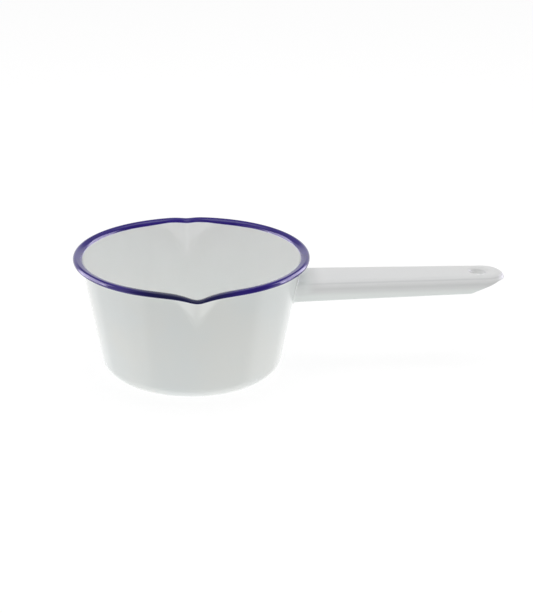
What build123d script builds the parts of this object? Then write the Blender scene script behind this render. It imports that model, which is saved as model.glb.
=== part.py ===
from build123d import *

import os
from math import asin, atan2, cos, degrees, exp, hypot, log, radians, sin, sqrt, tan

# Enamelled steel milk pan, in millimetres. The origin is the centre of the base on the
# resting plane, +Z is up, +X runs along the handle, and a pouring lip stands at +Y and at -Y.

# Bowl: a pressed steel cup with a leaning wall, a round corner and a rolled rim
RIM_OUTER_R = 74.2
RIM_TOP_Z = 77.0
WALL_LEAN = 10.2  # degrees outwards from upright
BASE_CORNER_R = 12.0
BOWL_STEEL = 0.7
ENAMEL = 0.3  # one coat, on the bowl and on the handle

# Rolled rim: the wall flares out over the top and curls down into a hollow bead
BEAD_R = 1.9
FLARE_R = 2.8  # outside radius of the bend from the wall to the top of the rim
FLARE_RISE = 12.0  # degrees that the top of the rim climbs towards the bead
CURL_SHORT = 40.0  # degrees by which the curl's edge stops short of facing the wall
BEAD_CLEARANCE = 0.7  # between the bead and the wall beside it
SEAL_HEIGHT = 0.7  # rim enamel that closes the slot between the curl and the wall
SEAL_BELOW_FLARE = 0.1

# Pouring lips: two beaks pressed out of the wall and rim, each over a V-shaped crease
LIP_OUT = 5.2  # how far the bead moves outwards
LIP_DIP = 1.7  # how far the bead sinks
LIP_SPREAD = 11.0  # along the rim: the larger, the broader the beak
DIP_SPREAD = 6.6  # the same for its dip
LIP_HALF_LENGTH = 30.0  # along the rim, to where the beak has faded out
LIP_THINNING = 0.6  # bead radius lost where the rim is stretched
CREASE_DROP = 20.0  # foot of the V below the middle of the bead
CREASE_END_DROP = 4.0  # the crease where the beak has faded out
CREASE_HALF_WIDTH = 11.6  # along the rim, from the foot of the V to its upper end
CREASE_TIP_R = 1.5  # round foot of the V
CREASE_BLEND_SHARE = 0.12  # of the V's half width, over which its upper ends fade out
CREASE_SOFTNESS_SHARE = 0.28  # of the crease's drop that is rounded each side of it
LIP_STATIONS = 10  # upright cuts between a beak's middle and its end

# Handle: a pressed steel channel, open below, with a round nose
HANDLE_REACH = 126.5  # from the rim's outer edge to the tip
HANDLE_DROP = 16.0  # from the top of the rim to the top of the handle
HANDLE_ROOT_WIDTH = 33.2
HANDLE_NOSE_R = 13.7
HANDLE_STEEL = 0.9
SHOULDER_R = 5.0
SKIRT_ROOT_DEPTH = 12.6
SKIRT_TIP_DEPTH = 10.8
SKIRT_TIP_BACK = 23.8  # from the tip to where the slanting cut starts
NOSE_DEPTH = 3.8
NOSE_CUT_BACK = 6.4  # from the tip to where the slanting cut meets the edge of the nose
SKIRT_CORNER_R = 4.0

# Hanging hole: its edge is drawn down into a short smooth collar
HOLE_BACK = 17.5  # from the tip
HOLE_R = 4.4
HOLE_ROUND_R = 3.0
HOLE_COLLAR = 0.8

# Root tabs: the skirts' ends turn inwards under the top and are spot-welded to the wall
TAB_LENGTH = 8.0
TAB_HEIGHT = 8.6
TAB_BELOW_TOP = 2.6
WELD_R = 1.7
WELD_SPACING = 4.6
WELD_REACH_SHARE = 0.5  # of each sheet's thickness

# How far a cutting shape reaches past the piece that it cuts
OVERRUN = 4.0

# Lip panels and the turned bowl are joined across this much
JOIN_GAP = 0.0001

# The panel with a lip in it reaches in to this share of the floor that stays flat
PANEL_SHARE = 0.98

BOWL_SHEET = BOWL_STEEL + 2 * ENAMEL
HANDLE_SHEET = HANDLE_STEEL + 2 * ENAMEL
BEAD_CENTRE_R = RIM_OUTER_R - BEAD_R
BEAD_CENTRE_Z = RIM_TOP_Z - BEAD_R

# Outside of the wall beside the bead, and where its line would reach the resting plane
WALL_TOP_R = BEAD_CENTRE_R - BEAD_R - BEAD_CLEARANCE
WALL_FOOT_R = WALL_TOP_R - BEAD_CENTRE_Z * tan(radians(WALL_LEAN))
CURL_END = CURL_SHORT - 180 - WALL_LEAN
LIP_ANGLE = degrees(LIP_HALF_LENGTH / BEAD_CENTRE_R)
LIP_SIDES = (90, -90)
FLOOR_R = WALL_FOOT_R - BASE_CORNER_R * (1 - sin(radians(WALL_LEAN))) / cos(radians(WALL_LEAN))
PANEL_X = FLOOR_R * cos(radians(LIP_ANGLE)) * PANEL_SHARE
HANDLE_TIP_X = RIM_OUTER_R + HANDLE_REACH
HANDLE_TOP_Z = RIM_TOP_Z - HANDLE_DROP
SKIRT_TIP_X = HANDLE_TIP_X - SKIRT_TIP_BACK
NOSE_CUT_X = HANDLE_TIP_X - NOSE_CUT_BACK
HOLE_X = HANDLE_TIP_X - HOLE_BACK

WALL_OUT = Vector(cos(radians(WALL_LEAN)), 0, -sin(radians(WALL_LEAN)))
WALL_UP = Vector(sin(radians(WALL_LEAN)), 0, cos(radians(WALL_LEAN)))
RIM_UP = Vector(-sin(radians(FLARE_RISE)), 0, cos(radians(FLARE_RISE)))
DOWN = Vector(0, 0, -1)


def wall_r(height, depth=0):
    """Radius of the round wall at a height, at a depth under its outer surface."""
    lean = radians(WALL_LEAN)
    return WALL_FOOT_R + height * tan(lean) - depth / cos(lean)


def fade(distance, spread):
    """Share of a beak's full form at a distance along the rim: one at its middle, none at its end."""
    ending = (1 - (distance / LIP_HALF_LENGTH) ** 2) ** 2
    return ending / (1 + (distance / spread) ** 2)


def vee(distance):
    """Share of the crease's drop at a distance along the rim: straight sides, a round foot."""
    along = hypot(distance, CREASE_TIP_R) - CREASE_TIP_R
    left = (1 - along / CREASE_HALF_WIDTH) / CREASE_BLEND_SHARE
    return CREASE_BLEND_SHARE * log(1 + exp(left))


def crossing(p, p_normal, q, q_normal):
    """Where the line through p crosses the line through q, each square to its normal."""
    a, b = p.dot(p_normal), q.dot(q_normal)
    det = p_normal.X * q_normal.Z - p_normal.Z * q_normal.X
    return Vector((a * q_normal.Z - b * p_normal.Z) / det, 0, (b * p_normal.X - a * q_normal.X) / det)


def arc_about(centre, radius, start, end):
    """Arc about a centre between two directions less than half a turn apart."""
    middle = (start + end).normalized()
    points = [centre + way.normalized() * radius for way in (start, middle, end)]
    return Edge.make_three_point_arc(*points)


def direction(angle):
    """Unit vector in the upright plane, its angle counted from outwards towards up."""
    return Vector(cos(radians(angle)), 0, sin(radians(angle)))


class BowlCut:
    """Upright cut through floor, wall and rim, at a share of the way from a lip's middle to its end.

    Every line of it is given at a depth under the outer surface, so that steel and enamel
    share their faces.
    """

    def __init__(self, share=1, floor_start=0):
        self.turned = floor_start == 0
        distance = share * LIP_HALF_LENGTH
        beak = fade(distance, LIP_SPREAD)
        thinning = LIP_THINNING * beak
        self.floor_start = floor_start
        self.corner = Vector(FLOOR_R, 0, BASE_CORNER_R)
        self.bead_r = BEAD_R - thinning
        self.flare_r = FLARE_R - thinning
        dip = LIP_DIP * fade(distance, DIP_SPREAD)
        self.bead = Vector(BEAD_CENTRE_R + LIP_OUT * beak, 0, BEAD_CENTRE_Z - dip)

        drop = CREASE_END_DROP + (CREASE_DROP - CREASE_END_DROP) * vee(distance)
        crease_z = BEAD_CENTRE_Z - drop
        self.crease = Vector(wall_r(crease_z), 0, crease_z)
        self.softness = CREASE_SOFTNESS_SHARE * drop
        wall_top = Vector(WALL_TOP_R + LIP_OUT * beak + thinning, 0, self.bead.Z)
        self.beak_up = (wall_top - self.crease).normalized()
        self.beak_out = Vector(self.beak_up.Z, 0, -self.beak_up.X)

        inner_wall = self.crease_at(BOWL_SHEET) + self.beak_out * self.flare_r
        under_top = self.bead + RIM_UP * (self.bead_r - self.flare_r)
        self.flare = crossing(inner_wall, self.beak_out, under_top, RIM_UP)

    def crease_at(self, depth):
        """The wall's crease, on the line that halves its bend."""
        normals = WALL_OUT + self.beak_out
        return self.crease - normals * (depth / (1 + WALL_OUT.dot(self.beak_out)))

    def flare_start(self, depth):
        return self.flare - self.beak_out * (self.flare_r - BOWL_SHEET + depth)

    def curl_end(self, depth):
        return self.bead + direction(CURL_END) * (self.bead_r - BOWL_SHEET + depth)

    def cup(self, depth):
        """Floor, round corner and wall, up to the flare."""
        radius = BASE_CORNER_R - depth
        crease = self.crease_at(depth)
        low = crease - WALL_UP * self.softness
        high = crease + self.beak_up * self.softness
        base = [
            Edge.make_line(Vector(self.floor_start, 0, depth), self.corner + DOWN * radius),
            arc_about(self.corner, radius, DOWN, WALL_OUT),
        ]
        wall_foot, wall_end = self.corner + WALL_OUT * radius, self.flare_start(depth)
        if self.turned:
            return [*base, Edge.make_line(wall_foot, wall_end)]
        creased = [Edge.make_line(wall_foot, low), Edge.make_bezier(low, crease, high)]
        return [*base, *creased, Edge.make_line(high, wall_end)]

    def rim(self, depth):
        """The flare, the top of the rim and the curl."""
        flare_r = self.flare_r - BOWL_SHEET + depth
        bead_r = self.bead_r - BOWL_SHEET + depth
        top_angle = 90 + FLARE_RISE
        middle = direction((top_angle + CURL_END) / 2)
        return [
            arc_about(self.flare, flare_r, self.beak_out * -1, RIM_UP),
            Edge.make_line(self.flare + RIM_UP * flare_r, self.bead + RIM_UP * bead_r),
            arc_about(self.bead, bead_r, direction(top_angle), middle),
            arc_about(self.bead, bead_r, middle, direction(CURL_END)),
        ]


def closed(first, second, corners):
    """Closed outline of two chains of edges, joined at their far ends by way of some corners."""
    path = [first[-1] @ 1, *corners, second[-1] @ 1]
    joins = [Edge.make_line(a, b) for a, b in zip(path, path[1:])]
    return Wire([*first, *second, Edge.make_line(first[0] @ 0, second[0] @ 0), *joins])


def steel_outline(cut):
    outer, inner = ENAMEL, ENAMEL + BOWL_STEEL
    return closed(cut.cup(outer) + cut.rim(outer), cut.cup(inner) + cut.rim(inner), [])


def outer_coat_outline(cut):
    return closed(cut.cup(0), cut.cup(ENAMEL), [])


def lining_outline(cut):
    return closed(cut.cup(ENAMEL + BOWL_STEEL), cut.cup(BOWL_SHEET), [])


def rim_coat_outline(cut):
    """Coat over the flare and curl, closed against the wall under the bead."""
    seal_top = cut.flare_start(0) - cut.beak_up * SEAL_BELOW_FLARE
    seal_foot = seal_top - cut.beak_up * SEAL_HEIGHT
    corners = [seal_foot, seal_top, cut.curl_end(ENAMEL)]
    return closed(cut.rim(BOWL_SHEET), cut.rim(ENAMEL + BOWL_STEEL), corners)


def lip_window():
    """Wedge, square to +X, that clears a panel of the round bowl for a lip."""
    far, half = RIM_OUTER_R + LIP_OUT + OVERRUN, tan(radians(LIP_ANGLE))
    corners = [(PANEL_X, PANEL_X * half), (far, far * half), (far, -far * half), (PANEL_X, -PANEL_X * half)]
    wedge = extrude(make_face(Polyline(*corners, close=True)), amount=RIM_TOP_Z + 2 * OVERRUN, dir=(0, 0, 1))
    return Pos(0, 0, -OVERRUN) * wedge


def lip_panel(outline):
    """Panel with a lip, square to +X, lofted through upright cuts from end to end of the beak."""
    wires = []
    for station in range(-LIP_STATIONS, LIP_STATIONS + 1):
        share = station / LIP_STATIONS
        cut = BowlCut(abs(share), PANEL_X / cos(radians(share * LIP_ANGLE)))
        wires.append(outline(cut).rotate(Axis.Z, share * LIP_ANGLE))
    return Solid.make_loft(wires)


def bowl_layer(outline):
    """One layer of the bowl: turned round the axis, with a lip let into each side."""
    turned = revolve(Face(outline(BowlCut())), Axis.Z)
    panel, window = lip_panel(outline), lip_window()
    for side in LIP_SIDES:
        turned -= window.rotate(Axis.Z, side)
    pieces = [*turned.solids(), *[panel.rotate(Axis.Z, side) for side in LIP_SIDES]]
    return Part(pieces[0].fuse(*pieces[1:], glue=True, tol=JOIN_GAP).wrapped)


def wall_cone(depth):
    """Solid bounded by the round wall at a depth under its outer surface, or outside it if negative."""
    low, high = -OVERRUN, RIM_TOP_Z
    outline = Polyline(
        (0, 0, low), (wall_r(low, depth), 0, low), (wall_r(high, depth), 0, high), (0, 0, high), close=True
    )
    return revolve(make_face(outline), Axis.Z)


class HandlePlan:
    """Plan of the handle: straight sides that narrow to a round nose."""

    root_x = wall_r(HANDLE_TOP_Z)
    foot_r = wall_r(HANDLE_TOP_Z - SKIRT_ROOT_DEPTH)
    start_x = sqrt(foot_r**2 - (HANDLE_ROOT_WIDTH / 2) ** 2) - OVERRUN
    nose = Vector(HANDLE_TIP_X - HANDLE_NOSE_R, 0)
    root = Vector(root_x, HANDLE_ROOT_WIDTH / 2)
    reach = (nose - root).length
    taper = atan2(root.Y, nose.X - root.X) - asin(HANDLE_NOSE_R / reach)
    side_out = Vector(sin(taper), cos(taper))

    @classmethod
    def half_width(cls, x, depth=0):
        """Half the width at x, drawn in by a depth, where the sides are straight."""
        return cls.root.Y - (x - cls.root.X) * tan(cls.taper) - depth / cos(cls.taper)

    @classmethod
    def face(cls, depth):
        """The plan's face, drawn in by a depth."""
        radius = HANDLE_NOSE_R - depth
        far = cls.nose + cls.side_out * radius
        near = Vector(cls.start_x, cls.half_width(cls.start_x, depth))
        outline = [
            Edge.make_line(near, far),
            Edge.make_three_point_arc(far, cls.nose + Vector(radius, 0), Vector(far.X, -far.Y)),
            Edge.make_line(Vector(far.X, -far.Y), Vector(near.X, -near.Y)),
            Edge.make_line(Vector(near.X, -near.Y), near),
        ]
        return Face(Wire(outline))


def handle_block(depth):
    """The handle as a solid block drawn in by a depth, its shoulders and nose rounded over."""
    foot = HANDLE_TOP_Z - SKIRT_ROOT_DEPTH - OVERRUN
    top = HANDLE_TOP_Z - depth
    block = extrude(Pos(0, 0, foot) * HandlePlan.face(depth), amount=top - foot, dir=(0, 0, 1))
    edges = block.faces().sort_by(Axis.Z)[-1].edges().sort_by(Axis.X)[1:]
    return fillet(edges, SHOULDER_R - depth)


def side_keep(lift):
    """Side view of what is left of the handle after the skirts are trimmed, its edge raised by a lift."""
    slope = (SKIRT_ROOT_DEPTH - SKIRT_TIP_DEPTH) / (SKIRT_TIP_X - HandlePlan.root_x)
    start_x = HandlePlan.start_x - OVERRUN
    start_depth = SKIRT_ROOT_DEPTH + slope * (HandlePlan.root_x - start_x)
    end_x = HANDLE_TIP_X + OVERRUN
    drops = (
        (start_x, start_depth),
        (SKIRT_TIP_X, SKIRT_TIP_DEPTH),
        (NOSE_CUT_X, NOSE_DEPTH),
        (end_x, NOSE_DEPTH),
        (end_x, -OVERRUN),
        (start_x, -OVERRUN),
    )
    outline = Polyline(*[(x, 0, HANDLE_TOP_Z - drop) for x, drop in drops], close=True)
    face = make_face(outline)
    corners = [v for v in face.vertices() if v.X in (SKIRT_TIP_X, NOSE_CUT_X)]
    face = fillet(corners, SKIRT_CORNER_R)
    if lift:
        face = offset(face, amount=-lift)
    return extrude(face, amount=HANDLE_ROOT_WIDTH, both=True)


def hole_ring(outer, inner, collar):
    """Sheet between two depths that turns down round the hanging hole into a collar."""
    round_centre = Vector(HOLE_R + HOLE_ROUND_R, 0, HANDLE_TOP_Z - HOLE_ROUND_R)
    inwards = Vector(-1, 0, 0)
    arcs = [arc_about(round_centre, HOLE_ROUND_R - depth, DOWN * -1, inwards) for depth in (outer, inner)]
    runs = [Edge.make_line(arc @ 1, arc @ 1 + DOWN * collar) for arc in arcs]
    ends = [Edge.make_line(arcs[0] @ 0, arcs[1] @ 0), Edge.make_line(runs[0] @ 1, runs[1] @ 1)]
    ring = revolve(Face(Wire([*arcs, *runs, *ends])), Axis.Z)
    return Pos(HOLE_X, 0, 0) * ring


def channel(outer, inner, lift, collar):
    """Sheet of the handle between two depths: top, skirts, nose and the hole's collar."""
    shell = (handle_block(outer) - handle_block(inner)) & side_keep(lift)
    blank = Pos(HOLE_X, 0, HANDLE_TOP_Z) * Cylinder(HOLE_R + HOLE_ROUND_R, 2 * SHOULDER_R)
    return shell - blank + hole_ring(outer, inner, collar) - wall_cone(0)


def root_tabs(face, back, margin):
    """Tabs that lie along the wall between two depths, with a margin round their free edges."""
    sheet = wall_cone(back) - wall_cone(face)
    root_y = HandlePlan.half_width(HandlePlan.root_x, ENAMEL + HANDLE_STEEL / 2)
    free_y = HandlePlan.half_width(HandlePlan.root_x, HANDLE_SHEET) - TAB_LENGTH - margin
    top_z = HANDLE_TOP_Z - TAB_BELOW_TOP + margin
    foot_z = HANDLE_TOP_Z - TAB_BELOW_TOP - TAB_HEIGHT - margin
    size = Vector(HandlePlan.root_x, root_y - free_y, top_z - foot_z)
    window = Pos(HandlePlan.root_x, (root_y + free_y) / 2, (top_z + foot_z) / 2) * Box(*size)
    tab = sheet & window
    return [tab, mirror(tab, Plane.XZ)]


def weld_nuggets():
    """Two spot welds in each tab, reaching part of the way into the wall and into the tab."""
    into_bowl = BOWL_STEEL * WELD_REACH_SHARE
    into_tab = HANDLE_STEEL * WELD_REACH_SHARE
    tab_y = HandlePlan.half_width(HandlePlan.root_x, HANDLE_SHEET) - TAB_LENGTH / 2
    tab_z = HANDLE_TOP_Z - TAB_BELOW_TOP - TAB_HEIGHT / 2
    nuggets = []
    for y in (tab_y, -tab_y):
        for z in (tab_z - WELD_SPACING / 2, tab_z + WELD_SPACING / 2):
            radius = wall_r(z, ENAMEL)
            seat = Vector(sqrt(radius**2 - y**2), y, z)
            way = WALL_OUT.rotate(Axis.Z, degrees(atan2(seat.Y, seat.X)))
            disc = Plane(origin=seat - way * into_bowl, z_dir=way) * Circle(WELD_R)
            nuggets.append(extrude(disc, amount=into_bowl + into_tab))
    return nuggets


def build():
    steel_tabs = root_tabs(ENAMEL, ENAMEL - HANDLE_STEEL, 0)
    coated_tabs = root_tabs(0, -HANDLE_STEEL, ENAMEL)
    nuggets = weld_nuggets()

    bowl = bowl_layer(steel_outline) - nuggets
    outer_coat = bowl_layer(outer_coat_outline) - steel_tabs
    lining = bowl_layer(lining_outline)
    rim_coat = bowl_layer(rim_coat_outline)

    steel = channel(ENAMEL, ENAMEL + HANDLE_STEEL, ENAMEL, HOLE_COLLAR) + steel_tabs
    coated = channel(0, HANDLE_SHEET, 0, HOLE_COLLAR + ENAMEL) + coated_tabs
    return {
        "bowl_pressing": bowl,
        "bowl_outer_enamel": outer_coat,
        "bowl_lining_enamel": lining,
        "rim_enamel": rim_coat,
        "handle_pressing": steel - nuggets,
        "handle_enamel": coated - steel,
        "spot_welds": Compound(children=nuggets),
    }


os.makedirs("parts", exist_ok=True)
for node, shape in build().items():
    export_step(shape, f"parts/{node}.step")
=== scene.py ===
from math import asin, atan2, cos, radians, sin, sqrt, tan

import bmesh
import bpy
import numpy as np
from mathutils import Matrix, Vector


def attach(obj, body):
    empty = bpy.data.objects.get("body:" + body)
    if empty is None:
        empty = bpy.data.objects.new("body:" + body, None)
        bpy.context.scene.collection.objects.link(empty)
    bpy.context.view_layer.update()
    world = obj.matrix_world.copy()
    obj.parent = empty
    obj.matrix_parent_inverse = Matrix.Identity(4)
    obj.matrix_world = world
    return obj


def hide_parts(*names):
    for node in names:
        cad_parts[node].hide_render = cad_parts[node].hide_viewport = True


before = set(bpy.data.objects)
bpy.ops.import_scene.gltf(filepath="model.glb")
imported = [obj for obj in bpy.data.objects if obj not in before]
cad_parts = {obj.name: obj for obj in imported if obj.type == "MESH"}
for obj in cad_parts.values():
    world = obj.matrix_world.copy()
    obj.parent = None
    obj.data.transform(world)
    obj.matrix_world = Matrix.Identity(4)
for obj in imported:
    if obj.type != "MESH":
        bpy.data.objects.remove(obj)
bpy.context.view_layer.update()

# Shapes are worked out in millimetres and scaled to metres when a mesh is made
MM = 0.001

# Bowl sizes
RIM_TOP_Z = 77.0
RIM_OUTER_R = 74.2
WALL_LEAN = radians(10.2)
BASE_CORNER_R = 12.0
BOWL_STEEL = 0.7
ENAMEL = 0.3
BEAD_R = 1.9
BEAD_CLEARANCE = 0.7
FLARE_R = 2.8
FLARE_RISE = radians(12)
CURL_SHORT = radians(40)

# Pouring lips
LIP_OUT = 5.2
LIP_DIP = 1.7
LIP_SPREAD = 11.0
DIP_SPREAD = 6.6
LIP_HALF_LENGTH = 30.0
LIP_THINNING = 0.6
CREASE_DROP = 20.0
CREASE_END_DROP = 4.0
CREASE_HALF_WIDTH = 11.6
CREASE_TIP_R = 1.5
CREASE_BLEND_SHARE = 0.12
CREASE_SOFTNESS = 0.28

# Handle sizes
HANDLE_REACH = 126.5
HANDLE_DROP = 16.0
HANDLE_ROOT_WIDTH = 33.2
HANDLE_NOSE_R = 13.7
HANDLE_SHEET = 1.5
SHOULDER_R = 5.0
SKIRT_ROOT_DEPTH = 12.6
SKIRT_TIP_DEPTH = 10.8
SKIRT_TIP_BACK = 23.8
NOSE_DEPTH = 3.8
NOSE_CUT_BACK = 6.4
CUT_ROUNDING = 0.8
EDGE_ROUND = 0.7
HOLE_BACK = 17.5
HOLE_R = 4.4
HOLE_ROUND_R = 3.0
HOLE_COLLAR = 1.1
TAB_LENGTH = 8.3
TAB_HEIGHT = 9.2
TAB_BELOW_TOP = 2.3
TAB_STAND = 0.9
WELD_R = 1.7
WELD_SPACING = 4.6
WELD_DIMPLE = 0.16

# Enamel: how the coats meet each other and pool
WHITE_SINK = 0.04
PAINT_TAIL = 0.2
PAINT_RISE = 1.0
PAINT_LIP = 0.5
BAND_OUTER = radians(-42)
BAND_WAVE = 0.13
BAND_SOFT = 0.10
# Zone at the band's edges: a painted highlight line, then the blue thinning to lavender
BAND_HAZE = 0.40
HAZE_RISE = 0.7
HAZE_SHARE = 0.4
GROUND_TAIL = 0.3
GROUND_SINK = 0.03
GROUND_BURY = 0.06
SEAL_FOOT = 1.0
POOL_TURN = radians(-97)
POOL_SPREAD = 31.0
RIM_SINK = 0.01
ROOT_FILLET = 2.2
CHANNEL_FILLET = 1.1
BURY = 0.5

# Mesh steps
TURN_STEPS = 480
SPINE_STATIONS = 72
NOSE_STATIONS = 44
FLAT_STEPS = 8
SIDE_STEPS = 26
CAP_STEPS = 6

BOWL_SHEET = BOWL_STEEL + 2 * ENAMEL
BEAD_CENTRE_R = RIM_OUTER_R - BEAD_R
BEAD_CENTRE_Z = RIM_TOP_Z - BEAD_R
WALL_TOP_R = BEAD_CENTRE_R - BEAD_R - BEAD_CLEARANCE
WALL_FOOT_R = WALL_TOP_R - BEAD_CENTRE_Z * tan(WALL_LEAN)
FLOOR_R = WALL_FOOT_R - BASE_CORNER_R * (1 - sin(WALL_LEAN)) / cos(WALL_LEAN)
CURL_END = CURL_SHORT - radians(180) - WALL_LEAN
RIM_TOP_ANGLE = radians(90) + FLARE_RISE
HANDLE_TIP_X = RIM_OUTER_R + HANDLE_REACH
HANDLE_TOP_Z = RIM_TOP_Z - HANDLE_DROP
HOLE_X = HANDLE_TIP_X - HOLE_BACK


def wall_r(height, depth=0.0):
    """Radius of the round wall at a height, at a depth under its outer surface."""
    return WALL_FOOT_R + height * tan(WALL_LEAN) - depth / cos(WALL_LEAN)


def fade(distance, spread):
    """Share of a beak's form at a distance along the rim from its middle."""
    ending = np.clip(1 - (distance / LIP_HALF_LENGTH) ** 2, 0, None) ** 2
    return ending / (1 + (distance / spread) ** 2)


def vee(distance):
    """Share of the crease's drop along the rim: straight sides, a soft tip and soft ends."""
    along = np.hypot(distance, CREASE_TIP_R) - CREASE_TIP_R
    left = (1 - along / CREASE_HALF_WIDTH) / CREASE_BLEND_SHARE
    return CREASE_BLEND_SHARE * np.log1p(np.exp(left))


def ways(angles):
    """Unit vectors in the upright plane, outwards and up, for angles counted from outwards."""
    return np.stack([np.cos(angles), np.sin(angles)], -1)


def dot(a, b):
    return (a * b).sum(-1, keepdims=True)


class BowlCuts:
    """Upright cuts through the bowl at each step round its axis, as (outwards, up) points."""

    def __init__(self):
        self.turn = np.arange(TURN_STEPS) / TURN_STEPS * radians(360)
        off_lip = np.abs(np.abs((self.turn + radians(180)) % radians(360) - radians(180)) - radians(90))
        self.distance = BEAD_CENTRE_R * off_lip
        self.beak = fade(self.distance, LIP_SPREAD)
        thinning = LIP_THINNING * self.beak
        self.bead_r = (BEAD_R - thinning)[:, None]
        self.flare_r = (FLARE_R - thinning)[:, None]
        dip = LIP_DIP * fade(self.distance, DIP_SPREAD)
        self.bead = np.stack([BEAD_CENTRE_R + LIP_OUT * self.beak, BEAD_CENTRE_Z - dip], -1)
        drop = CREASE_END_DROP + (CREASE_DROP - CREASE_END_DROP) * vee(self.distance)
        crease_z = BEAD_CENTRE_Z - drop
        self.crease = np.stack([wall_r(crease_z), crease_z], -1)
        self.softness = (CREASE_SOFTNESS * drop)[:, None]
        wall_top = np.stack([WALL_TOP_R + LIP_OUT * self.beak + thinning, self.bead[:, 1]], -1)
        rise = wall_top - self.crease
        self.beak_up = rise / np.linalg.norm(rise, axis=1, keepdims=True)
        self.beak_out = np.stack([self.beak_up[:, 1], -self.beak_up[:, 0]], -1)
        self.wall_out = np.array([cos(WALL_LEAN), -sin(WALL_LEAN)])
        self.wall_up = np.array([sin(WALL_LEAN), cos(WALL_LEAN)])
        self.rim_up = np.array([-sin(FLARE_RISE), cos(FLARE_RISE)])
        self.flare = self.flare_centre()

    def flare_centre(self):
        """Where the wall and the top of the rim, both moved in by the flare's radius, cross."""
        wall = self.crease_at(BOWL_SHEET) + self.beak_out * self.flare_r
        top = self.bead + self.rim_up * (self.bead_r - self.flare_r)
        along = dot(wall - top, self.beak_out) / dot(self.rim_along, self.beak_out)
        return top + self.rim_along * along

    @property
    def rim_along(self):
        return np.array([cos(FLARE_RISE), sin(FLARE_RISE)])

    def crease_at(self, depth):
        normals = self.wall_out + self.beak_out
        return self.crease - normals * depth / (1 + dot(self.beak_out, self.wall_out))

    def flare_start(self, depth):
        return self.flare - self.beak_out * (self.flare_r - BOWL_SHEET + depth)

    def cup(self, depth):
        """Floor, round corner and wall up to the flare, as a list of rings."""
        centre = np.array([FLOOR_R, BASE_CORNER_R])
        radius = BASE_CORNER_R - depth
        crease = self.crease_at(depth)
        low = crease - self.wall_up * self.softness
        high = crease + self.beak_up * self.softness
        foot = centre + self.wall_out * radius
        end = self.flare_start(depth)
        whole = np.ones((TURN_STEPS, 1))
        rings = [whole * np.array([FLOOR_R * share, depth]) for share in np.linspace(0, 1, 14)]
        for angle in np.linspace(radians(-90), -WALL_LEAN, 18)[1:]:
            rings.append(whole * (centre + ways(angle) * radius))
        rings += [foot + (low - foot) * share for share in np.linspace(0, 1, 16)[1:]]
        for share in np.linspace(0, 1, 18)[1:]:
            left = 1 - share
            rings.append(low * left**2 + crease * 2 * left * share + high * share**2)
        rings += [high + (end - high) * share for share in np.linspace(0, 1, 7)[1:]]
        return rings

    def rim(self, depth):
        """Flare, top of the rim and curl, as a list of rings."""
        flare_r = self.flare_r - BOWL_SHEET + depth
        bead_r = self.bead_r - BOWL_SHEET + depth
        start = np.arctan2(-self.beak_out[:, 1], -self.beak_out[:, 0]) % radians(360)
        rings = []
        for share in np.linspace(0, 1, 14):
            angle = start + (RIM_TOP_ANGLE - start) * share
            rings.append(self.flare + ways(angle) * flare_r)
        top = self.bead + ways(RIM_TOP_ANGLE) * bead_r
        rings.append((rings[-1] + top) / 2)
        for angle in np.linspace(RIM_TOP_ANGLE, CURL_END, 34):
            rings.append(self.bead + ways(angle) * bead_r)
        return rings

    def place(self, rings):
        """Rings of upright-cut points as points in space, in millimetres."""
        points = np.array(rings)
        across = points[..., 0]
        return np.stack([across * np.cos(self.turn), across * np.sin(self.turn), points[..., 1]], -1)


def grid_faces(rows, columns, close_rows=False):
    """Quads of a grid whose columns close on themselves, and its rows too if asked."""
    faces = []
    for row in range(rows if close_rows else rows - 1):
        below, above = row * columns, (row + 1) % rows * columns
        for column in range(columns):
            beside = (column + 1) % columns
            faces.append((below + column, below + beside, above + beside, above + column))
    return faces


def make_piece(name, points, faces, attributes=()):
    """Mesh object of points in millimetres, welded, turned outwards and smooth but for its sharp ends."""
    mesh = bpy.data.meshes.new(name)
    mesh.from_pydata((np.asarray(points) * MM).tolist(), [], faces)
    for key, values in attributes:
        layer = mesh.attributes.new(key, "FLOAT", "POINT")
        layer.data.foreach_set("value", np.ascontiguousarray(values, dtype=np.float32))
    work = bmesh.new()
    work.from_mesh(mesh)
    bmesh.ops.remove_doubles(work, verts=work.verts, dist=2e-7)
    bmesh.ops.dissolve_degenerate(work, edges=work.edges, dist=1e-8)
    bmesh.ops.recalc_face_normals(work, faces=work.faces)
    for face in work.faces:
        face.smooth = True
    for edge in work.edges:
        edge.smooth = len(edge.link_faces) == 2 and edge.calc_face_angle(0) < radians(38)
    work.to_mesh(mesh)
    work.free()
    piece = bpy.data.objects.new(name, mesh)
    bpy.context.collection.objects.link(piece)
    return piece


def wave(turn, seed):
    """Slow unevenness of a hand-laid line round the rim, between about minus one and one."""
    total = np.zeros_like(turn)
    for order, weight in ((3, 0.3), (7, 0.25), (12, 0.2), (19, 0.15), (31, 0.12), (47, 0.1)):
        total += weight * np.sin(order * turn + seed * order * 1.7)
    return total


def bowl_skin(name, cuts, shown, hidden):
    """Closed skin of the cup between a shown and a hidden depth."""
    rings = cuts.cup(shown) + cuts.cup(hidden)[::-1]
    return make_piece(name, cuts.place(rings).reshape(-1, 3), grid_faces(len(rings), TURN_STEPS))


def between(knots, steps):
    """Values from knot to knot, each stretch cut into a number of steps."""
    found = [knots[0]]
    for start, end, count in zip(knots, knots[1:], steps):
        found += [start + (end - start) * share for share in np.linspace(0, 1, count + 1)[1:]]
    return found


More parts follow.
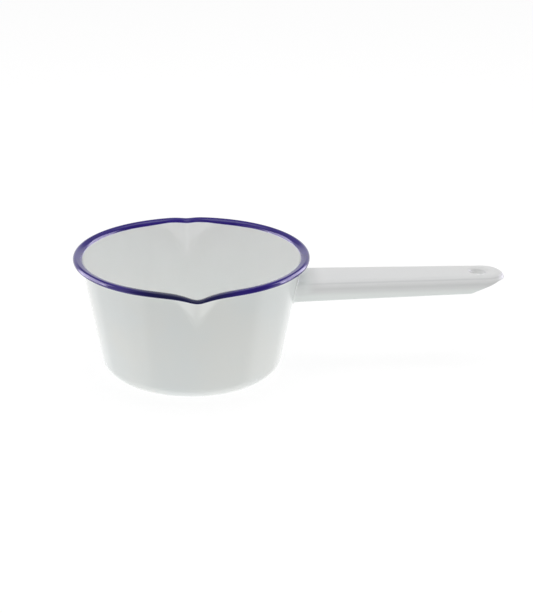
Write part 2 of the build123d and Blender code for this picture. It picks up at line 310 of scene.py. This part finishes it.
def rim_skin(cuts):
    """White ground coat over flare and bead, with the blue band laid over its top."""
    steel = ENAMEL + BOWL_STEEL
    whole = np.ones((TURN_STEPS, 1))
    start = (np.arctan2(-cuts.beak_out[:, 1], -cuts.beak_out[:, 0]) % radians(360))[:, None]
    side = np.cos(cuts.turn)[:, None] ** 2
    edge = PAINT_TAIL - PAINT_RISE * side + PAINT_LIP * cuts.beak[:, None] + BAND_WAVE * wave(cuts.turn, 1)[:, None]
    # Width of the zone holding the painted highlight line and the thinning blue
    haze = BAND_HAZE + HAZE_RISE * side**4
    foot = np.maximum(edge + haze, 0) + 0.05
    top = (RIM_TOP_ANGLE - start) * cuts.flare_r
    steps = (2, 2, 3, 2, 18)
    runs = between([foot + GROUND_TAIL, foot, edge + haze, edge + BAND_SOFT, edge - BAND_SOFT, top], steps)
    band = between([0, 0, 0, HAZE_SHARE, 1, 1], steps)
    sinks = between([WHITE_SINK + GROUND_BURY, GROUND_SINK, GROUND_SINK, GROUND_SINK, RIM_SINK, RIM_SINK], steps)
    rings = []
    for run, sink in zip(runs, sinks):
        wall = cuts.flare_start(BOWL_SHEET - sink) - cuts.beak_up * run
        angle = start + np.minimum(run, 0) / cuts.flare_r
        bend = cuts.flare + np.hstack([np.cos(angle), np.sin(angle)]) * (cuts.flare_r - sink)
        rings.append(np.where(run > 0, wall, bend))
    rings.append((rings[-1] + cuts.bead + ways(RIM_TOP_ANGLE) * (cuts.bead_r - RIM_SINK)) / 2)
    band.append(1)
    ground = [0] * len(band)
    outer = BAND_OUTER - BAND_WAVE * wave(cuts.turn, 4)[:, None] / cuts.bead_r
    soft = BAND_SOFT / cuts.bead_r
    knots = [whole * RIM_TOP_ANGLE, outer + soft, outer - soft, outer - 5 * soft, whole * CURL_END]
    shares = between([1, 1, HAZE_SHARE, 0, 0], (28, 2, 3, 8))
    for angle, share in zip(between(knots, (28, 2, 3, 8)), shares):
        sink = WHITE_SINK + (RIM_SINK - WHITE_SINK) * share
        rings.append(cuts.bead + np.hstack([np.cos(angle), np.sin(angle)]) * (cuts.bead_r - sink))
        band.append(share)
        ground.append(1)
    curl = rings[-1]
    seal = cuts.flare_start(0) - cuts.beak_up * SEAL_FOOT
    bend = cuts.bead + ways(CURL_END - radians(22)) * cuts.bead_r * 1.06
    for share in np.linspace(0, 1, 9)[1:]:
        left = 1 - share
        rings.append(curl * left**2 + bend * 2 * left * share + seal * share**2)
    rings.append(seal - cuts.beak_out * GROUND_BURY - cuts.beak_up * 0.15)
    back = cuts.rim(steel)[::-1]
    rings += back
    rings.append(cuts.flare_start(steel) - cuts.beak_up * (foot + GROUND_TAIL))
    rest = len(rings) - len(band)
    pool_off = (cuts.turn - POOL_TURN + radians(180)) % radians(360) - radians(180)
    pool = np.exp(-((BEAD_CENTRE_R * pool_off / POOL_SPREAD) ** 4))
    attributes = [
        ("band", np.repeat(band + [0] * rest, TURN_STEPS)),
        ("ground", np.repeat(ground + [1] * rest, TURN_STEPS)),
        ("pool", np.tile(pool, len(rings))),
    ]
    points = cuts.place(rings).reshape(-1, 3)
    return make_piece("rim_enamel_skin", points, grid_faces(len(rings), TURN_STEPS, True), attributes)


class HandleForm:
    """Outside of the handle at stations from the wall to the nose, for the half at +Y."""

    def __init__(self):
        self.root_x = wall_r(HANDLE_TOP_Z)
        self.nose_x = HANDLE_TIP_X - HANDLE_NOSE_R
        root_y = HANDLE_ROOT_WIDTH / 2
        length = self.nose_x - self.root_x
        self.taper = atan2(root_y, length) - asin(HANDLE_NOSE_R / sqrt(length**2 + root_y**2))
        self.side_out = np.array([sin(self.taper), cos(self.taper)])
        self.side_end = np.array([self.nose_x, 0]) + self.side_out * HANDLE_NOSE_R
        self.hole_start_x = HOLE_X - HOLE_R - HOLE_ROUND_R
        self.skirt_tip_x = HANDLE_TIP_X - SKIRT_TIP_BACK
        self.nose_cut_x = HANDLE_TIP_X - NOSE_CUT_BACK

    def half_width(self, x):
        return HANDLE_ROOT_WIDTH / 2 - (x - self.root_x) * tan(self.taper)

    def edge_z(self, x):
        """Height of the skirts' lower edge."""
        slopes = [
            (SKIRT_ROOT_DEPTH - SKIRT_TIP_DEPTH) / (self.skirt_tip_x - self.root_x),
            (SKIRT_TIP_DEPTH - NOSE_DEPTH) / (self.nose_cut_x - self.skirt_tip_x),
            0,
        ]
        z = HANDLE_TOP_Z - SKIRT_ROOT_DEPTH + slopes[0] * (x - self.root_x)
        for corner, before, after in (
            (self.skirt_tip_x, slopes[0], slopes[1]),
            (self.nose_cut_x, slopes[1], slopes[2]),
        ):
            into = np.clip(x - corner + CUT_ROUNDING, 0, 2 * CUT_ROUNDING)
            z = z + (after - before) * (into**2 / (4 * CUT_ROUNDING) + np.clip(x - corner - CUT_ROUNDING, 0, None))
        return z

    def inset(self, z, depth):
        """How far in from the plan's outline the surface at a depth lies at a height."""
        above = np.clip(z - (HANDLE_TOP_Z - SHOULDER_R), 0, SHOULDER_R - depth)
        return SHOULDER_R - np.sqrt((SHOULDER_R - depth) ** 2 - above**2)

    def stations(self):
        """Outline point, outward normal and inner target of each station past the spine's end."""
        straight = self.side_end[0] - self.hole_start_x
        arc = HANDLE_NOSE_R * (radians(90) - self.taper)
        found = []
        for share in np.linspace(0, 1, NOSE_STATIONS + 1):
            run = share * (straight + arc)
            if run < straight:
                x = self.hole_start_x + run
                point, out = np.array([x, self.half_width(x)]), self.side_out
            else:
                angle = radians(90) - self.taper - (run - straight) / HANDLE_NOSE_R
                out = ways(angle)
                point = np.array([self.nose_x, 0]) + out * HANDLE_NOSE_R
            inner = point - out * SHOULDER_R
            facing = atan2(inner[1], inner[0] - HOLE_X)
            first = facing if not found else first
            ring = facing + (radians(180) - first) * (1 - share) ** 2
            target = np.array([HOLE_X, 0]) + ways(ring) * (HOLE_R + HOLE_ROUND_R)
            found.append((point, out, target))
        return found

    def side(self, point, out, depth):
        """Shoulder and skirt from the flat top down, at one station and depth."""
        radius = SHOULDER_R - depth
        foot_z = self.edge_z(point[0] - out[0] * depth) + EDGE_ROUND
        foot_z = self.edge_z(point[0] - out[0] * self.inset(foot_z, depth)) + EDGE_ROUND
        centre_z = HANDLE_TOP_Z - SHOULDER_R
        cut = asin(min(1.0, max(0.0, (foot_z - centre_z) / radius)))
        arc = radius * (radians(90) - cut)
        skirt = max(0.0, centre_z - foot_z)
        rows = []
        for share in np.linspace(0, 1, SIDE_STEPS):
            run = share * (arc + skirt)
            angle = radians(90) - min(run, arc) / radius
            z = centre_z + radius * sin(angle) - max(0.0, run - arc)
            across = point - out * (SHOULDER_R - radius * cos(angle))
            rows.append((across[0], across[1], z))
        return rows

    def chain(self, point, out, target):
        """Section of the sheet at one station: over the outside, round the edge and back inside."""
        outer, inner = self.side(point, out, 0), self.side(point, out, HANDLE_SHEET)
        flat = point - out * SHOULDER_R
        shares = np.linspace(0, 1, FLAT_STEPS, endpoint=False)
        top = [(*(target + (flat - target) * share), HANDLE_TOP_Z) for share in shares]
        under = [(x, y, HANDLE_TOP_Z - HANDLE_SHEET) for x, y, _ in top]
        a, b = np.array(outer[-1]), np.array(inner[-1])
        middle, half = (a + b) / 2, (a - b) / 2
        cap = []
        for step in range(1, CAP_STEPS):
            angle = radians(180) * step / CAP_STEPS
            cap.append(middle + half * cos(angle) + np.array([0, 0, -EDGE_ROUND * sin(angle)]))
        return np.array(top + outer + cap + inner[::-1] + under[::-1])

    def spine_chain(self, share):
        """Section at a share of the way from the wall to the hole, its near end shaped to the wall."""
        x = self.root_x + (self.hole_start_x - self.root_x) * share
        for _ in range(2):
            section = self.chain(np.array([x, self.half_width(x)]), self.side_out, np.array([x, 0]))
        start = np.sqrt((wall_r(section[:, 2]) - BURY) ** 2 - section[:, 1] ** 2)
        section[:, 0] += (start - self.root_x) * (1 - share)
        return section

    def hole_chain(self, target):
        """Edge of the hanging hole from the underside, round its collar and back to the top."""
        way = (target - np.array([HOLE_X, 0])) / (HOLE_R + HOLE_ROUND_R)
        centre_z = HANDLE_TOP_Z - HOLE_ROUND_R
        foot_z = centre_z - HOLE_COLLAR
        sheet_r = HOLE_ROUND_R - HANDLE_SHEET
        profile = []
        for angle in np.linspace(90, 180, 7)[1:]:
            profile.append(ways(radians(angle)) * sheet_r + np.array([HOLE_R + HOLE_ROUND_R, centre_z]))
        middle_r = HOLE_R + HANDLE_SHEET / 2
        for angle in np.linspace(0, 180, 9):
            bend = ways(radians(angle)) * np.array([HANDLE_SHEET / 2, -EDGE_ROUND])
            profile.append(np.array([middle_r, foot_z + EDGE_ROUND]) + bend)
        for angle in np.linspace(180, 90, 13)[:-1]:
            profile.append(ways(radians(angle)) * HOLE_ROUND_R + np.array([HOLE_R + HOLE_ROUND_R, centre_z]))
        return np.array([(HOLE_X + way[0] * r, way[1] * r, z) for r, z in profile])


def ribbon_faces(first, rows, columns):
    """Quads between neighbouring rows of points that are stored one row after another."""
    faces = []
    for row in range(rows - 1):
        a, b = first + row * columns, first + (row + 1) * columns
        faces += [(a + k, a + k + 1, b + k + 1, b + k) for k in range(columns - 1)]
    return faces


def handle_skin(form):
    """Closed enamel skin of the handle, with its rounded edges and the collared hole."""
    shares = np.linspace(0, 1, SPINE_STATIONS, endpoint=False) ** 1.1
    sections = [form.spine_chain(share) for share in shares]
    stations = form.stations()
    sections += [form.chain(*station) for station in stations]
    columns = len(sections[0])
    points = [row for section in sections for row in section]
    faces = ribbon_faces(0, len(sections), columns)
    faces += [(k, k + 1, columns - 2 - k, columns - 1 - k) for k in range(columns // 2 - 1)]
    first_hole = len(points)
    rims = [form.hole_chain(target) for _, _, target in stations]
    rims = [np.vstack([sections[SPINE_STATIONS + i][-1:], rim, sections[SPINE_STATIONS + i][:1]]) for i, rim in enumerate(rims)]
    points += [row for rim in rims for row in rim]
    faces += ribbon_faces(first_hole, len(rims), len(rims[0]))
    points = np.array(points)
    mirrored = points * np.array([1, -1, 1])
    faces += [tuple(index + len(points) for index in face) for face in faces]
    return make_piece("handle_enamel_skin", np.vstack([points, mirrored]), faces)


def root_fillet(form):
    """Enamel drawn into the corner between the handle's section and the wall, all the way round."""
    half = form.spine_chain(0)
    loop = np.vstack([half, (half * np.array([1, -1, 1]))[::-1]])
    keep = np.linalg.norm(np.roll(loop, -1, 0) - loop, axis=1) > 1e-6
    loop = loop[keep]
    loop[:, 0] = np.sqrt(wall_r(loop[:, 2]) ** 2 - loop[:, 1] ** 2)
    tangent = np.roll(loop, -1, 0) - np.roll(loop, 1, 0)
    tangent[:, 0] = 0
    tangent /= np.linalg.norm(tangent, axis=1, keepdims=True)
    out = np.cross(tangent, np.array([1.0, 0, 0]))
    if (out[0, 2]) < 0:
        out = -out
    turn = np.arctan2(loop[:, 1], loop[:, 0])
    wall = np.stack([cos(WALL_LEAN) * np.cos(turn), cos(WALL_LEAN) * np.sin(turn), np.full(len(turn), -sin(WALL_LEAN))], -1)
    along_wall = out - wall * dot(out, wall)
    along_wall /= np.linalg.norm(along_wall, axis=1, keepdims=True)
    along_handle = wall - out * dot(wall, out)
    along_handle /= np.linalg.norm(along_handle, axis=1, keepdims=True)
    outside = np.linspace(0, 1, len(loop)) * 0 + ROOT_FILLET
    inside = np.abs(loop[:, 1]) < form.half_width(form.root_x) - HANDLE_SHEET * 0.9
    inside &= loop[:, 2] < HANDLE_TOP_Z - HANDLE_SHEET * 0.9
    outside[inside] = CHANNEL_FILLET
    for _ in range(6):
        outside = (np.roll(outside, 1) + 2 * outside + np.roll(outside, -1)) / 4
    reach = outside[:, None]
    a = loop + along_wall * reach - wall * 0.06
    b = loop + along_handle * reach - out * 0.06
    rings = []
    for share in np.linspace(0, 1, 11):
        left = 1 - share
        rings.append(a * left**2 + loop * 2 * left * share + b * share**2)
    rings.append(loop - wall * 0.25 - out * 0.25)
    points = np.array(rings).reshape(-1, 3)
    return make_piece("root_enamel_fillet", points, grid_faces(len(rings), len(loop), True))


def root_tab(form, side):
    """Enamelled tab against the wall inside the channel, with the dimples of its two spot welds."""
    outer_y = form.half_width(form.root_x) - HANDLE_SHEET / 2
    inner_y = form.half_width(form.root_x) - HANDLE_SHEET - TAB_LENGTH
    top_z = HANDLE_TOP_Z - TAB_BELOW_TOP
    foot_z = top_z - TAB_HEIGHT
    weld_y = (form.half_width(form.root_x) - HANDLE_SHEET) - TAB_LENGTH / 2
    weld_z = (top_z + foot_z) / 2
    columns, rows = 40, 40
    ys = np.linspace(inner_y, outer_y, columns)
    zs = np.linspace(foot_z, top_z, rows)
    y, z = np.meshgrid(ys, zs)
    edge = np.minimum(np.minimum(y - inner_y, z - foot_z), top_z - z)
    rounding = np.clip(edge / EDGE_ROUND, 0, 1)
    stand = TAB_STAND * np.sqrt(1 - (1 - rounding) ** 2) - 0.3 * (rounding <= 0)
    for centre in (weld_z - WELD_SPACING / 2, weld_z + WELD_SPACING / 2):
        away = np.hypot(y - weld_y, z - centre) / WELD_R
        stand -= WELD_DIMPLE * np.exp(-(away**4))
    x = np.sqrt((wall_r(z) + stand) ** 2 - y**2)
    back = np.sqrt((wall_r(z) - BURY) ** 2 - y**2)
    front = np.stack([x, side * y, z], -1).reshape(-1, 3)
    rear = np.stack([back, side * y, z], -1).reshape(-1, 3)
    faces = ribbon_faces(0, rows, columns) + ribbon_faces(rows * columns, rows, columns)
    rim = list(range(columns)) + [r * columns + columns - 1 for r in range(1, rows)]
    rim += [(rows - 1) * columns + c for c in range(columns - 2, -1, -1)]
    rim += [r * columns for r in range(rows - 2, 0, -1)]
    shift = rows * columns
    faces += [(a, b, b + shift, a + shift) for a, b in zip(rim, rim[1:] + rim[:1])]
    name = "root_tab_left" if side > 0 else "root_tab_right"
    return make_piece(name, np.vstack([front, rear]), faces)


# The handle's painted light: lower and upper heights in millimetres of grey bands painted over its flat top and along
# its shoulder as painted shade and painted dark reflections, how far each one spreads, and how much grey is mixed in;
# then the heights over which the skirt is painted whiter towards its foot, and the stretch by the wall where the root
# is painted whiter, both painted light
# Painted shade: the flat top's darker tone, then the shoulder's two dark reflection lines
PAINTED_SHADE_BANDS = ((60.4, 62.0, 0.4, 0.09), (59.6, 59.9, 0.45, 0.20), (56.2, 57.0, 0.8, 0.06))
PAINTED_SHADE_GREY = (0.30, 0.31, 0.32)
# White of the painted light on the skirt's foot and at the root
PAINTED_LIFT_WHITE = (0.915, 0.955, 0.935)
FOOT_LIFT_FROM = 55.8
FOOT_LIFT_AT = 51.4
# Painted light at the root, against the shade between handle and wall
ROOT_LIFT_START = 70.0
ROOT_LIFT_END = 78.0
ROOT_LIFT_SHARE = 0.55


class Nodes:
    """Small helper that adds and links shader nodes."""

    def __init__(self, material):
        material.use_nodes = True
        self.tree = material.node_tree
        self.tree.nodes.clear()

    def add(self, kind, inputs=(), **settings):
        node = self.tree.nodes.new(kind)
        for key, value in settings.items():
            setattr(node, key, value)
        for key, value in dict(inputs).items():
            self.give(node.inputs[key], value)
        return node

    def give(self, socket, value):
        if isinstance(value, bpy.types.NodeSocket):
            self.tree.links.new(value, socket)
        else:
            socket.default_value = value

    def place(self):
        return self.add("ShaderNodeTexCoord").outputs["Object"]

    def noise(self, place, scale, detail=2.0, roughness=0.5):
        values = {"Vector": place, "Scale": scale, "Detail": detail, "Roughness": roughness}
        return self.add("ShaderNodeTexNoise", values).outputs["Fac"]

    def ramp(self, value, low, high, to_low=0.0, to_high=1.0):
        values = {"Value": value, "From Min": low, "From Max": high, "To Min": to_low, "To Max": to_high}
        return self.add("ShaderNodeMapRange", values, interpolation_type="SMOOTHSTEP").outputs["Result"]

    def mix(self, share, first, second):
        node = self.add("ShaderNodeMix", data_type="RGBA")
        self.give(node.inputs["Factor"], share)
        self.give(node.inputs[6], first)
        self.give(node.inputs[7], second)
        return node.outputs[2]

    def maths(self, operation, first, second):
        return self.add("ShaderNodeMath", {0: first, 1: second}, operation=operation).outputs[0]

    def times(self, first, second):
        return self.maths("MULTIPLY", first, second)

    def blend(self, share, first, second):
        node = self.add("ShaderNodeMix", {"Factor": share, "A": first, "B": second}, data_type="FLOAT")
        return node.outputs[0]

    def bump(self, height, distance, strength=1.0, normal=None):
        values = {"Height": height, "Distance": distance, "Strength": strength}
        if normal is not None:
            values["Normal"] = normal
        return self.add("ShaderNodeBump", values).outputs["Normal"]

    def finish(self, shader):
        self.add("ShaderNodeOutputMaterial", {"Surface": shader})


def colour(red, green, blue):
    return (red, green, blue, 1.0)


def enamel_bump(nodes, place, waves=0.35):
    """Slow waves of a fired coat under a fine orange peel."""
    slow = nodes.bump(nodes.noise(place, 45, 1.0), 0.00012, waves)
    return nodes.bump(nodes.noise(place, 330, 2.0), 0.00001, 0.35, slow)


def paint_handle_light(nodes, base):
    """Painted light on the handle: grey bands painted over its flat top and shoulder as shade and dark reflections,
    and a whiter tone painted at its foot and root as light.
    """
    parts = nodes.add("ShaderNodeSeparateXYZ", {"Vector": nodes.place()})
    # Painted shade and painted dark reflections, as grey bands by height
    for low, high, spread, depth in PAINTED_SHADE_BANDS:
        below = nodes.ramp(parts.outputs["Z"], (low - spread) * MM, low * MM)
        above = nodes.ramp(parts.outputs["Z"], (high + spread) * MM, high * MM)
        base = nodes.mix(nodes.times(nodes.times(below, above), depth), base, colour(*PAINTED_SHADE_GREY))
    # Painted light: the skirt whiter towards its foot
    foot = nodes.ramp(parts.outputs["Z"], FOOT_LIFT_FROM * MM, FOOT_LIFT_AT * MM)
    # Painted light: the root whiter, against the shade by the wall
    root = nodes.ramp(parts.outputs["X"], ROOT_LIFT_END * MM, ROOT_LIFT_START * MM, 0.0, ROOT_LIFT_SHARE)
    return nodes.mix(nodes.maths("MAXIMUM", foot, root), base, colour(*PAINTED_LIFT_WHITE))


def white_enamel(name, cool, warm, seed, gloss=(0.10, 0.17), level=0.5, with_painted_light=False):
    """Opaque white glass: slightly uneven in tone and gloss, with a few fine specks."""
    material = bpy.data.materials.new(name)
    nodes = Nodes(material)
    place = nodes.add("ShaderNodeMapping", {"Vector": nodes.place(), "Location": seed}).outputs[0]
    tone = nodes.ramp(nodes.noise(place, 22, 3.0), 0.35, 0.65)
    base = nodes.mix(tone, cool, warm)
    # The handle gets painted shade bands and a painted whiter foot and root
    if with_painted_light:
        base = paint_handle_light(nodes, base)
    cells = nodes.add("ShaderNodeTexVoronoi", {"Vector": place, "Scale": 120.0})
    near = nodes.ramp(cells.outputs["Distance"], 0.03, 0.055, 1.0, 0.0)
    rare = nodes.ramp(nodes.add("ShaderNodeSeparateColor", {"Color": cells.outputs["Color"]}).outputs[0], 0.965, 0.97)
    speck = nodes.times(nodes.times(near, rare), 0.35)
    base = nodes.mix(speck, base, colour(0.09, 0.10, 0.12))
    roughness = nodes.ramp(nodes.noise(place, 70, 4.0, 0.6), 0.3, 0.7, *gloss)
    shader = nodes.add(
        "ShaderNodeBsdfPrincipled",
        {
            "Base Color": base,
            "Roughness": roughness,
            "IOR": 1.5,
            "Specular IOR Level": level,
            "Normal": enamel_bump(nodes, place, 0.15 if with_painted_light else 0.35),
        },
    )
    nodes.finish(shader.outputs[0])
    return material


def blue_enamel(name):
    """Cobalt glass over the rim: darker where it pools near the lips, paler where it thins out, with a painted
    highlight line, whiter than the white coat, along the band's edges.
    """
    material = bpy.data.materials.new(name)
    nodes = Nodes(material)
    place = nodes.place()
    cloud = nodes.ramp(nodes.noise(place, 60, 4.0, 0.6), 0.3, 0.7)
    base = nodes.mix(cloud, colour(0.026, 0.013, 0.180), colour(0.034, 0.019, 0.220))
    pool = nodes.add("ShaderNodeAttribute", attribute_name="pool").outputs["Fac"]
    base = nodes.mix(nodes.times(pool, 0.9), base, colour(0.009, 0.011, 0.052))
    band = nodes.add("ShaderNodeAttribute", attribute_name="band").outputs["Fac"]
    outer = nodes.add("ShaderNodeAttribute", attribute_name="ground").outputs["Fac"]
    # The rim's white coat takes the lining's lighter white inside, painted light against the shade in the bowl, and
    # the outside's white outside
    ground = nodes.mix(outer, colour(0.905, 0.922, 0.908), colour(0.795, 0.822, 0.805))
    # Painted highlight: a line whiter than the white coat along the band's edges
    haze = nodes.mix(nodes.ramp(band, 0.0, 0.12), ground, colour(0.95, 0.95, 1.0))
    haze = nodes.mix(nodes.ramp(band, 0.10, 0.40), haze, colour(0.66, 0.64, 0.96))
    base = nodes.mix(nodes.ramp(band, 0.42, 1.0), haze, base)
    gloss = nodes.ramp(nodes.noise(place, 90, 3.0), 0.3, 0.7, 0.04, 0.08)
    shader = nodes.add(
        "ShaderNodeBsdfPrincipled",
        {
            "Base Color": base,
            "Roughness": gloss,
            "IOR": 1.5,
            "Normal": enamel_bump(nodes, place),
        },
    )
    nodes.finish(shader.outputs[0])
    return material


def steel(name, tint):
    """Bare low-carbon steel with a fine grain and a grey scale from firing."""
    material = bpy.data.materials.new(name)
    nodes = Nodes(material)
    place = nodes.place()
    scale = nodes.ramp(nodes.noise(place, 80, 5.0, 0.65), 0.35, 0.65)
    base = nodes.mix(scale, tint, colour(0.16, 0.15, 0.15))
    stretched = nodes.add("ShaderNodeMapping", {"Vector": place, "Scale": (900, 60, 60)}).outputs[0]
    grain = nodes.noise(stretched, 1.0, 3.0)
    shader = nodes.add(
        "ShaderNodeBsdfPrincipled",
        {
            "Base Color": base,
            "Metallic": 0.9,
            "Roughness": nodes.ramp(grain, 0.3, 0.7, 0.38, 0.6),
            "Normal": nodes.bump(grain, 0.00002, 0.5),
        },
    )
    nodes.finish(shader.outputs[0])
    return material


def dress(piece, material):
    piece.data.materials.clear()
    piece.data.materials.append(material)


def build_pan():
    cool, warm = colour(0.785, 0.82, 0.81), colour(0.805, 0.825, 0.80)
    outside = white_enamel("white_enamel_outside", cool, warm, (0.0, 0.0, 0.0))
    # Painted light: the lining's white is lighter than the outside's, against the shade inside the bowl
    lining = white_enamel("white_enamel_lining", colour(0.918, 0.940, 0.926), colour(0.928, 0.940, 0.926), (0.31, 0.12, 0.0))
    cool, warm = colour(0.795, 0.808, 0.805), colour(0.805, 0.810, 0.800)
    handle = white_enamel("white_enamel_handle", cool, warm, (0.7, 0.4, 0.2), (0.285, 0.300), 0.12, True)
    cuts = BowlCuts()
    form = HandleForm()
    skins = [
        (bowl_skin("bowl_outside_skin", cuts, WHITE_SINK, ENAMEL), outside, "bowl_outer_enamel"),
        (bowl_skin("bowl_lining_skin", cuts, BOWL_SHEET - WHITE_SINK, ENAMEL + BOWL_STEEL), lining, "bowl_lining_enamel"),
        (rim_skin(cuts), blue_enamel("blue_enamel"), "rim_enamel"),
        (handle_skin(form), handle, "handle_enamel"),
        (root_fillet(form), handle, "handle_enamel"),
        (root_tab(form, 1), handle, "handle_enamel"),
        (root_tab(form, -1), handle, "handle_enamel"),
    ]
    for piece, material, node in skins:
        dress(piece, material)
        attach(piece, "root")
        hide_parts(node)


def dress_steel():
    """Finish of the bare steel that the enamel covers."""
    sheet = steel("steel", colour(0.42, 0.42, 0.43))
    fused = steel("weld_steel", colour(0.36, 0.36, 0.38))
    finishes = {"bowl_pressing": sheet, "handle_pressing": sheet, "spot_welds": fused}
    for node, material in finishes.items():
        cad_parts[node].material_slots[0].material = material


# Camera: the photograph's viewing angle
CAMERA_DISTANCE = 1.0
CAMERA_AZIMUTH = radians(-5.3)
CAMERA_ELEVATION = radians(21.2)
CAMERA_ROLL = radians(0.585)
CAMERA_TARGET = Vector((0.04706, -0.00437, 0.0414))
CAMERA_LENS = 92.4


def make_camera():
    flat = cos(CAMERA_ELEVATION)
    back = Vector((sin(CAMERA_AZIMUTH) * flat, -cos(CAMERA_AZIMUTH) * flat, sin(CAMERA_ELEVATION)))
    level = Vector((cos(CAMERA_AZIMUTH), sin(CAMERA_AZIMUTH), 0))
    upright = back.cross(level)
    right = level * cos(CAMERA_ROLL) + upright * sin(CAMERA_ROLL)
    up = upright * cos(CAMERA_ROLL) - level * sin(CAMERA_ROLL)
    camera = bpy.data.objects.new("camera", bpy.data.cameras.new("camera"))
    camera.data.lens = CAMERA_LENS
    camera.data.clip_start, camera.data.clip_end = 0.05, 50
    camera.matrix_world = Matrix.Translation(CAMERA_TARGET + back * CAMERA_DISTANCE) @ Matrix((right, up, back)).transposed().to_4x4()
    bpy.context.collection.objects.link(camera)
    bpy.context.scene.camera = camera


# Studio as the enamel mirrors it: brightness of each light area, and its edges as a direction's
# part along an axis, from where the area starts to where it is at its full brightness
ROOM_LEVEL = 0.10
LIGHT_AREAS = (
    (0.28, (("Y", -0.02, 0.40),)),
    (1.00, (("Z", 0.47, 0.34), ("Y", -0.30, 0.00))),
    (1.30, (("Z", 0.02, -0.14), ("Y", 0.35, 0.65))),
    (1.60, (("Z", 0.66, 0.80), ("Y", -0.16, -0.04), ("X", -0.48, -0.32), ("X", 0.48, 0.32))),
    (0.95, (("Z", 0.14, 0.26), ("X", -0.60, -0.40), ("X", 0.60, 0.40), ("Y", -0.34, -0.46))),
    (0.80, (("X", -0.55, -0.75), ("Y", -0.55, -0.35))),
    (0.85, (("X", 0.70, 0.85), ("Y", -0.20, 0.05))),
    (5.50, (("X", -0.52, -0.70), ("Y", -0.05, 0.01), ("Y", 0.82, 0.60), ("Z", -0.40, -0.30), ("Z", 0.66, 0.50))),
    (5.50, (("X", 0.52, 0.70), ("Y", -0.05, 0.01), ("Y", 0.82, 0.60), ("Z", -0.40, -0.30), ("Z", 0.66, 0.50))),
    (11.0, (("X", -0.95, -0.97), ("Y", -0.04, 0.01), ("Y", 0.17, 0.09), ("Z", -0.22, -0.12), ("Z", 0.15, 0.09))),
    (11.0, (("X", 0.95, 0.97), ("Y", -0.04, 0.01), ("Y", 0.17, 0.09), ("Z", -0.22, -0.12), ("Z", 0.15, 0.09))),
)
SIDE_TINT = (1.0, 0.93, 1.18)
AMBIENT_FRONT = 0.41
AMBIENT_BACK = 0.52
FLOOR_GLOW = 0.64
FLOOR_GLOW_NEAR = 0.28
FLOOR_GLOW_SEEN = 0.855


def seen_directly(nodes):
    """One for rays that show the background: from the camera or through glass."""
    path = nodes.add("ShaderNodeLightPath")
    return nodes.maths("MAXIMUM", path.outputs["Is Camera Ray"], path.outputs["Is Transmission Ray"])


def make_floor():
    """Pale lit floor, white to the eye where nothing shades it."""
    size = 6.0
    mesh = bpy.data.meshes.new("floor")
    corners = [(-size, -size, 0), (size, -size, 0), (size, size, 0), (-size, size, 0)]
    mesh.from_pydata(corners, [], [(0, 1, 2, 3)])
    floor = bpy.data.objects.new("floor", mesh)
    floor.visible_glossy = False
    bpy.context.collection.objects.link(floor)
    material = bpy.data.materials.new("floor")
    nodes = Nodes(material)
    diffuse = nodes.add("ShaderNodeBsdfDiffuse", {"Color": colour(0.20, 0.20, 0.20)})
    away = nodes.add("ShaderNodeVectorMath", {0: nodes.place()}, operation="LENGTH").outputs["Value"]
    near = nodes.ramp(away, 0.36, 0.08, FLOOR_GLOW, FLOOR_GLOW + FLOOR_GLOW_NEAR)
    strength = nodes.blend(seen_directly(nodes), near, FLOOR_GLOW_SEEN)
    glow = nodes.add("ShaderNodeEmission", {"Color": colour(1, 1, 1), "Strength": strength})
    both = nodes.add("ShaderNodeAddShader", {0: diffuse.outputs[0], 1: glow.outputs[0]})
    nodes.finish(both.outputs[0])
    dress(floor, material)


def mirrored_room(nodes, parts):
    """Brightness of the studio in the direction of a mirrored ray."""
    room = ROOM_LEVEL
    for level, edges in LIGHT_AREAS:
        area = level
        for axis, outside, inside in edges:
            area = nodes.times(area, nodes.ramp(parts.outputs[axis], outside, inside))
        room = nodes.maths("MAXIMUM", room, area)
    return room


def make_world():
    """White background for the eye, even light from all sides, and light areas in the reflections."""
    world = bpy.data.worlds.new("studio")
    bpy.context.scene.world = world
    nodes = Nodes(world)
    way = nodes.add("ShaderNodeTexCoord").outputs["Generated"]
    parts = nodes.add("ShaderNodeSeparateXYZ", {"Vector": way})
    ambient = nodes.ramp(parts.outputs["Y"], -0.6, 0.6, AMBIENT_FRONT, AMBIENT_BACK)
    mirrored = nodes.add("ShaderNodeLightPath").outputs["Is Glossy Ray"]
    light = nodes.blend(mirrored, ambient, mirrored_room(nodes, parts))
    sideways = nodes.ramp(nodes.maths("ABSOLUTE", parts.outputs["X"], 0.0), 0.45, 0.65)
    above = nodes.ramp(parts.outputs["Z"], -0.42, -0.36)
    tinted = nodes.times(mirrored, nodes.times(sideways, above))
    tint = nodes.mix(tinted, colour(1, 1, 1), colour(*SIDE_TINT))
    white = nodes.blend(seen_directly(nodes), light, 1.0)
    background = nodes.add("ShaderNodeBackground", {"Color": tint, "Strength": white})
    nodes.add("ShaderNodeOutputWorld", {"Surface": background.outputs[0]})


def softbox(name, place, width, height, radiance):
    """Area light aimed at the pan, for the matt share of the light only."""
    light = bpy.data.lights.new(name, "AREA")
    light.shape = "RECTANGLE"
    light.size, light.size_y = width, height
    light.energy = radiance * radians(180) * width * height
    light.color = (1.0, 0.98, 0.985)
    lamp = bpy.data.objects.new(name, light)
    lamp.location = place
    lamp.rotation_mode = "QUATERNION"
    lamp.rotation_quaternion = (Vector((0.05, 0.0, 0.04)) - Vector(place)).to_track_quat("-Z", "Y")
    lamp.visible_camera = False
    lamp.visible_glossy = False
    bpy.context.collection.objects.link(lamp)


def make_lights():
    softbox("top_softbox", (0.05, 0.0, 1.35), 1.4, 1.1, 1.92)
    softbox("left_softbox", (-1.5, 0.1, 0.55), 0.9, 0.8, 0.5)
    softbox("right_softbox", (1.6, 0.1, 0.6), 0.9, 0.8, 0.5)


build_pan()
dress_steel()
make_floor()
make_world()
make_lights()
make_camera()
bpy.context.scene.view_settings.view_transform = "Standard"
